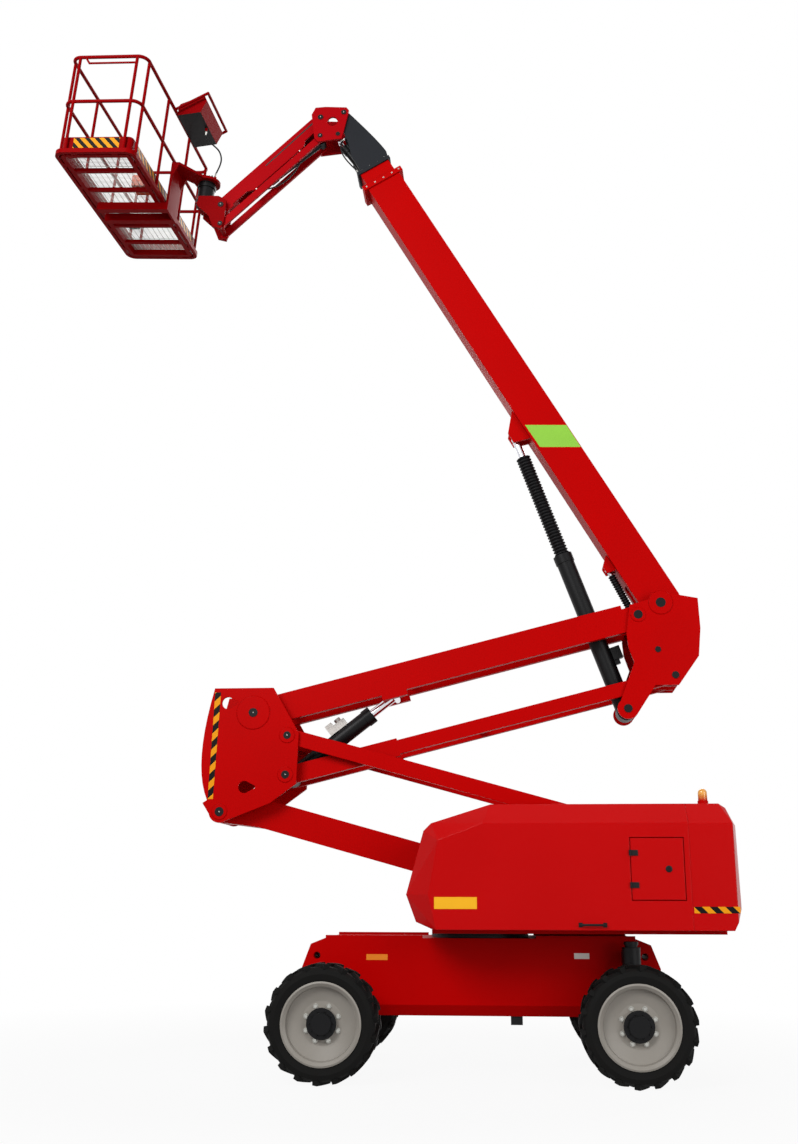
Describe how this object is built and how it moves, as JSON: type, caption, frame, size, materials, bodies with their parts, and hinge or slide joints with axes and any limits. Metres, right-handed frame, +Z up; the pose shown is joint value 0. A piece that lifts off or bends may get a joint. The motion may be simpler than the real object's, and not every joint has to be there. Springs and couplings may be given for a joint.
{
  "type": "articulating boom lift",
  "caption": "Self-propelled articulating boom lift: slewing turntable on a steered four-wheel chassis, folding risers, telescoping boom, jib and railed work platform.",
  "frame": {"origin": "on the ground under the middle of the machine's overall length and width, in the stored pose", "axes": "+Z up, -X forward (the end that the stowed platform faces), -Y to the machine's left"},
  "size_m": [6.7436, 2.6038, 10.5271],
  "materials": {
    "red_paint": "gloss",
    "black_paint": "satin",
    "tyre_rubber": "matte",
    "rim_paint": "satin",
    "chrome_rod": "polished",
    "bellows_rubber": "matte",
    "amber_lens": "gloss",
    "battery_case": "matte",
    "deck_mesh": "satin",
    "black_plastic": "matte",
    "counterweight_paint": "gloss",
    "hood_shell": "gloss",
    "orange_plastic": "gloss",
    "hose_rubber": "satin"
  },
  "bodies": {
    "chassis": {"chassis_frame": "red_paint", "front_axle": "black_paint", "rear_axle": "black_paint", "slew_ring": "black_paint"},
    "steer_front_left": {"knuckle_front_left": "black_paint"},
    "wheel_front_left": {"tyre_front_left": "tyre_rubber", "rim_front_left": "rim_paint"},
    "steer_front_right": {"knuckle_front_right": "black_paint"},
    "wheel_front_right": {"tyre_front_right": "tyre_rubber", "rim_front_right": "rim_paint"},
    "steer_rear_left": {"knuckle_rear_left": "black_paint"},
    "wheel_rear_left": {"tyre_rear_left": "tyre_rubber", "rim_rear_left": "rim_paint"},
    "steer_rear_right": {"knuckle_rear_right": "black_paint"},
    "wheel_rear_right": {"tyre_rear_right": "tyre_rubber", "rim_rear_right": "rim_paint"},
    "turntable": {"turntable_frame": "red_paint", "left_hood": "hood_shell", "right_hood": "hood_shell", "counterweight": "counterweight_paint", "battery_pack": "battery_case", "beacon": "amber_lens"},
    "service_door": {"service_door": "hood_shell"},
    "lower_riser": {"lower_riser": "red_paint"},
    "lower_link": {"lower_link": "red_paint"},
    "riser_knuckle": {"riser_knuckle": "red_paint"},
    "upper_riser": {"upper_riser": "red_paint"},
    "upper_link": {"upper_link": "red_paint"},
    "riser_barrel": {"riser_barrel": "black_paint"},
    "riser_rod": {"riser_rod": "chrome_rod"},
    "boom_knuckle": {"boom_knuckle": "red_paint"},
    "main_boom": {"main_boom": "red_paint"},
    "lift_barrel": {"lift_barrel": "black_paint"},
    "level_barrel": {"level_barrel": "black_paint"},
    "jib_base": {"jib_base": "red_paint"},
    "slave_barrel": {"slave_barrel": "black_paint"},
    "slave_rod": {"slave_rod": "chrome_rod"},
    "jib_arm": {"jib_arm": "red_paint", "jib_hose": "hose_rubber"},
    "jib_link": {"jib_link": "red_paint"},
    "jib_barrel": {"jib_barrel": "black_paint"},
    "jib_rod": {"jib_rod": "chrome_rod"},
    "boom_extension": {"extension_boom": "red_paint", "boom_nose": "black_paint", "nose_hose": "hose_rubber"},
    "lift_rod": {"lift_rod": "chrome_rod", "lift_bellows": "bellows_rubber"},
    "level_rod": {"level_rod": "chrome_rod", "level_bellows": "bellows_rubber"},
    "platform_head": {"platform_head": "red_paint", "rotator": "black_paint"},
    "platform": {"platform_support": "red_paint", "platform_frame": "red_paint", "platform_deck": "deck_mesh", "platform_rails": "red_paint", "console_guard": "red_paint", "control_console": "red_paint", "foot_switch": "black_plastic", "tool_box": "orange_plastic", "platform_hose": "hose_rubber"}
  },
  "joints": [
    {"name": "front_steer", "type": "hinge", "parent": "chassis", "child": "steer_front_left", "pos_m": [-0.385, -0.6445, 0.5075], "axis": [0, 0, 1], "range_deg": [-35, 35]},
    {"name": "wheel_spin_front_left", "type": "hinge", "parent": "steer_front_left", "child": "wheel_front_left", "pos_m": [-0.385, -0.9715, 0.5075], "axis": [0, 1, 0], "continuous": true},
    {"name": "front_steer_right", "type": "hinge", "parent": "chassis", "child": "steer_front_right", "pos_m": [-0.385, 0.7965, 0.5075], "axis": [0, 0, 1], "range_deg": [-35, 35]},
    {"name": "wheel_spin_front_right", "type": "hinge", "parent": "steer_front_right", "child": "wheel_front_right", "pos_m": [-0.385, 1.1235, 0.5075], "axis": [0, 1, 0], "continuous": true},
    {"name": "rear_steer", "type": "hinge", "parent": "chassis", "child": "steer_rear_left", "pos_m": [2.385, -0.6445, 0.5075], "axis": [0, 0, 1], "range_deg": [-35, 35]},
    {"name": "wheel_spin_rear_left", "type": "hinge", "parent": "steer_rear_left", "child": "wheel_rear_left", "pos_m": [2.385, -0.9715, 0.5075], "axis": [0, 1, 0], "continuous": true},
    {"name": "rear_steer_right", "type": "hinge", "parent": "chassis", "child": "steer_rear_right", "pos_m": [2.385, 0.7965, 0.5075], "axis": [0, 0, 1], "range_deg": [-35, 35]},
    {"name": "wheel_spin_rear_right", "type": "hinge", "parent": "steer_rear_right", "child": "wheel_rear_right", "pos_m": [2.385, 1.1235, 0.5075], "axis": [0, 1, 0], "continuous": true},
    {"name": "slew", "type": "hinge", "parent": "chassis", "child": "turntable", "pos_m": [1, 0.076, 1.268], "axis": [0, 0, 1], "continuous": true},
    {"name": "service_door", "type": "hinge", "parent": "turntable", "child": "service_door", "pos_m": [2.37, -1.0853, 1.84], "axis": [0, 0, -1], "range_deg": [0, 110]},
    {"name": "riser_lift", "type": "hinge", "parent": "turntable", "child": "lower_riser", "pos_m": [1.92, 0.076, 1.44], "axis": [0, 1, 0], "range_deg": [-13, 52]},
    {"name": "riser_knuckle_level", "type": "hinge", "parent": "lower_riser", "child": "riser_knuckle", "pos_m": [-1.54907, 0.076, 2.40206], "axis": [0, 1, 0], "range_deg": [-52.01, 13.01]},
    {"name": "lower_link_swing", "type": "hinge", "parent": "turntable", "child": "lower_link", "pos_m": [2.58, 0.076, 2.19], "axis": [0, 1, 0], "range_deg": [-13.01, 52.01]},
    {"name": "upper_riser_lift", "type": "hinge", "parent": "riser_knuckle", "child": "upper_riser", "pos_m": [-1.23907, 0.076, 3.38206], "axis": [0, -1, 0], "range_deg": [-13.01, 52.01]},
    {"name": "upper_link_swing", "type": "hinge", "parent": "riser_knuckle", "child": "upper_link", "pos_m": [-0.89907, 0.076, 2.76206], "axis": [0, -1, 0], "range_deg": [-13.01, 52.01]},
    {"name": "boom_knuckle_level", "type": "hinge", "parent": "upper_riser", "child": "boom_knuckle", "pos_m": [2.64211, 0.076, 4.34975], "axis": [0, -1, 0], "range_deg": [-52.01, 13.01]},
    {"name": "riser_barrel_swing", "type": "hinge", "parent": "riser_knuckle", "child": "riser_barrel", "pos_m": [-0.89907, 0.076, 2.76206], "axis": [0, -1, 0], "range_deg": [-10.59, 42.34]},
    {"name": "riser_rod_slide", "type": "slide", "parent": "riser_barrel", "child": "riser_rod", "axis": [0.79, 0, 0.6131], "range_m": [-0.14201, 0.56655]},
    {"name": "boom_lift", "type": "hinge", "parent": "boom_knuckle", "child": "main_boom", "pos_m": [2.87211, 0.076, 4.46975], "axis": [0, 1, 0], "range_deg": [-57.5, 15]},
    {"name": "lift_barrel_swing", "type": "hinge", "parent": "boom_knuckle", "child": "lift_barrel", "pos_m": [2.50211, 0.076, 3.39975], "axis": [0, 1, 0], "range_deg": [-44.28, 11.56]},
    {"name": "lift_rod_slide", "type": "slide", "parent": "lift_barrel", "child": "lift_rod", "axis": [-0.3342, 0, 0.9425], "range_m": [-0.98399, 0.25706], "deforming": ["lift_bellows"]},
    {"name": "level_barrel_swing", "type": "hinge", "parent": "boom_knuckle", "child": "level_barrel", "pos_m": [2.82211, 0.076, 3.98975], "axis": [0, 1, 0], "range_deg": [-36.12, 9.43]},
    {"name": "level_rod_slide", "type": "slide", "parent": "level_barrel", "child": "level_rod", "axis": [-0.4389, 0, 0.8985], "range_m": [-0.35401, 0.09272], "deforming": ["level_bellows"]},
    {"name": "telescope", "type": "slide", "parent": "main_boom", "child": "boom_extension", "axis": [-0.5, 0, 0.866], "range_m": [0, 4]},
    {"name": "jib_base_level", "type": "hinge", "parent": "boom_extension", "child": "jib_base", "pos_m": [-0.43514, 0.076, 10.36608], "axis": [0, 1, 0], "range_deg": [-15.01, 57.51]},
    {"name": "slave_barrel_swing", "type": "hinge", "parent": "boom_extension", "child": "slave_barrel", "pos_m": [-0.21351, 0.076, 9.6742], "axis": [0, 1, 0], "range_deg": [-8.06, 2.11]},
    {"name": "slave_rod_slide", "type": "slide", "parent": "slave_barrel", "child": "slave_rod", "axis": [-0.5712, 0, 0.8208], "range_m": [-0.06969, 0.26574]},
    {"name": "jib_lift", "type": "hinge", "parent": "jib_base", "child": "jib_arm", "pos_m": [-0.70514, 0.076, 10.31608], "axis": [0, 1, 0], "range_deg": [-22, 112]},
    {"name": "jib_link_swing", "type": "hinge", "parent": "jib_base", "child": "jib_link", "pos_m": [-0.70514, 0.076, 10.07608], "axis": [0, 1, 0], "range_deg": [-22.01, 112.01]},
    {"name": "platform_head_level", "type": "hinge", "parent": "jib_arm", "child": "platform_head", "pos_m": [-1.83672, 0.076, 9.24224], "axis": [0, 1, 0], "range_deg": [-112.01, 22.01]},
    {"name": "jib_barrel_swing", "type": "hinge", "parent": "jib_base", "child": "jib_barrel", "pos_m": [-0.70514, 0.076, 10.07608], "axis": [0, 1, 0], "range_deg": [-21.79, 110.89]},
    {"name": "jib_rod_slide", "type": "slide", "parent": "jib_barrel", "child": "jib_rod", "axis": [-0.775, 0, -0.632], "range_m": [-0.0811, 0.41081]},
    {"name": "platform_rotate", "type": "hinge", "parent": "platform_head", "child": "platform", "pos_m": [-2.07083, 0.076, 9.26273], "axis": [0.0872, 0, 0.9962], "range_deg": [-76, 84]}
  ],
  "couplings": [
    {"joint": "front_steer_right", "follows": "front_steer", "ratio": 1},
    {"joint": "rear_steer_right", "follows": "rear_steer", "ratio": 1},
    {"joint": "riser_knuckle_level", "follows": "riser_lift", "ratio": -1},
    {"joint": "lower_link_swing", "follows": "riser_lift", "ratio": 1},
    {"joint": "upper_riser_lift", "follows": "riser_lift", "ratio": 1},
    {"joint": "upper_link_swing", "follows": "riser_lift", "ratio": 1},
    {"joint": "boom_knuckle_level", "follows": "riser_lift", "ratio": -1},
    {"joint": "riser_barrel_swing", "follows": "riser_lift", "ratio": 0.814},
    {"joint": "riser_rod_slide", "follows": "riser_lift", "m_per_rad": 0.6237},
    {"joint": "lift_barrel_swing", "follows": "boom_lift", "ratio": 0.77},
    {"joint": "lift_rod_slide", "follows": "boom_lift", "m_per_rad": 0.98},
    {"joint": "level_barrel_swing", "follows": "boom_lift", "ratio": 0.628},
    {"joint": "level_rod_slide", "follows": "boom_lift", "m_per_rad": 0.35225},
    {"joint": "jib_base_level", "follows": "boom_lift", "ratio": -1},
    {"joint": "slave_barrel_swing", "follows": "boom_lift", "ratio": 0.14},
    {"joint": "slave_rod_slide", "follows": "boom_lift", "m_per_rad": -0.2643},
    {"joint": "jib_link_swing", "follows": "jib_lift", "ratio": 1},
    {"joint": "platform_head_level", "follows": "jib_lift", "ratio": -1},
    {"joint": "jib_barrel_swing", "follows": "jib_lift", "ratio": 0.99},
    {"joint": "jib_rod_slide", "follows": "jib_lift", "m_per_rad": 0.2099}
  ]
}
